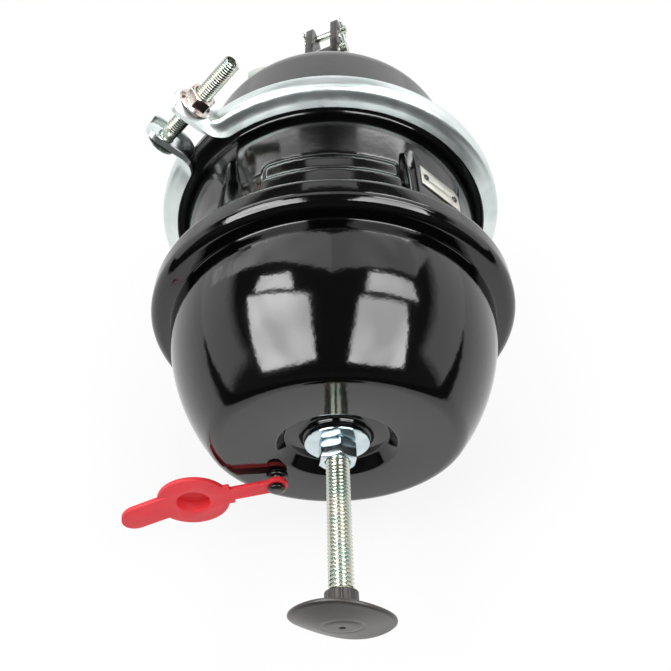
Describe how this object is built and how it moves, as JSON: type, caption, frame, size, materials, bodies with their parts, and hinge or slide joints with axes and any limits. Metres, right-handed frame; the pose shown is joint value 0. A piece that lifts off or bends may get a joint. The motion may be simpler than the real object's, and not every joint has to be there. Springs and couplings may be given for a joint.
{
  "type": "spring brake chamber",
  "caption": "Air brake chamber with a clamped service chamber, push rod and clevis, and a crimped spring chamber whose release bolt is fitted.",
  "frame": {"origin": "centre of the stud circle on the mounting face", "axes": "+Y along the chamber's axis, out of the mounting face with the push rod; +Z away from the ports, up as the chamber lies; +X by the right-hand rule"},
  "size_m": [0.2383, 0.5392, 0.2578],
  "materials": {
    "black_enamel": "gloss black enamel over pressed steel",
    "black_cast": "gloss black enamel over die cast aluminium",
    "cast_piston": "as die cast",
    "clamp_zinc": "zinc plated, clear",
    "dark_steel": "dark phosphate",
    "red_plastic": "moulded, satin",
    "zinc_green": "zinc plated",
    "zinc_pink": "zinc plated, warm tint",
    "bright_steel": "bright plated",
    "black_plastic": "moulded, satin",
    "bronze": "sintered bush",
    "rubber": "moulded, fabric reinforced",
    "spring_steel": "black coated spring wire",
    "plate_foil": "etched plate"
  },
  "bodies": {
    "housing": {"service_housing": "black_enamel", "mounting_studs": "zinc_green", "mounting_nuts": "zinc_green", "push_rod_guide": "black_plastic", "service_diaphragm": "rubber", "service_return_spring": "spring_steel", "clamp_band_upper": "clamp_zinc", "clamp_band_lower": "clamp_zinc", "clamp_bolts": "bright_steel", "clamp_nuts": "zinc_pink", "flange_case": "black_cast", "centre_bush": "bronze", "centre_seals": "rubber", "nameplate": "plate_foil", "nameplate_screws": "bright_steel", "adapter_return_spring": "spring_steel", "spring_diaphragm": "rubber", "power_spring": "spring_steel", "spring_housing": "black_enamel", "release_washer": "bright_steel", "tag_plug": "black_plastic"},
    "spring_piston": {"spring_piston": "cast_piston", "adapter_push_rod": "bright_steel", "adapter_foot": "cast_piston", "foot_screw": "bright_steel", "release_bolt": "bright_steel"},
    "release_nut": {"release_nut": "zinc_pink"},
    "dust_plug": {"dust_plug": "black_plastic"},
    "service_rod": {"service_push_rod": "bright_steel", "push_plate": "bright_steel", "clevis_jam_nut": "zinc_green", "clevis": "dark_steel"},
    "clevis_pin": {"clevis_pin": "bright_steel", "clevis_cotter": "bright_steel"},
    "link_pin": {"link_pin": "bright_steel", "link_cotters": "bright_steel"},
    "release_tag": {"release_tag": "red_plastic"}
  },
  "joints": [
    {"name": "release_nut_turn", "type": "hinge", "parent": "housing", "child": "release_nut", "pos_m": [0, -0.267, 0], "axis": [0, -1, 0], "range_deg": [0, 11704]},
    {"name": "spring_piston_slide", "type": "slide", "parent": "housing", "child": "spring_piston", "axis": [0, 1, 0], "range_m": [0, 0.0635], "deforming": ["power_spring", "spring_diaphragm", "adapter_return_spring"]},
    {"name": "service_rod_slide", "type": "slide", "parent": "spring_piston", "child": "service_rod", "axis": [0, -1, 0], "range_m": [-0.0635, 0], "stiffness_N_per_m": 900, "springref_m": 0.012, "deforming": ["service_diaphragm", "service_return_spring"]},
    {"name": "dust_plug_pull", "type": "slide", "parent": "spring_piston", "child": "dust_plug", "axis": [0, -1, 0], "range_m": [0, 0.02]},
    {"name": "clevis_pin_turn", "type": "hinge", "parent": "service_rod", "child": "clevis_pin", "pos_m": [0, 0.1405, 0], "axis": [0.9361, 0, 0.3518], "continuous": true},
    {"name": "link_pin_turn", "type": "hinge", "parent": "service_rod", "child": "link_pin", "pos_m": [0, 0.1735, 0], "axis": [0.9361, 0, 0.3518], "continuous": true},
    {"name": "tag_swing", "type": "hinge", "parent": "housing", "child": "release_tag", "pos_m": [-0.0349, -0.27, -0.03], "axis": [0, -1, 0], "range_deg": [-85, 150]}
  ],
  "couplings": [
    {"joint": "release_nut_turn", "follows": "spring_piston_slide", "rad_per_m": 3215.8}
  ]
}
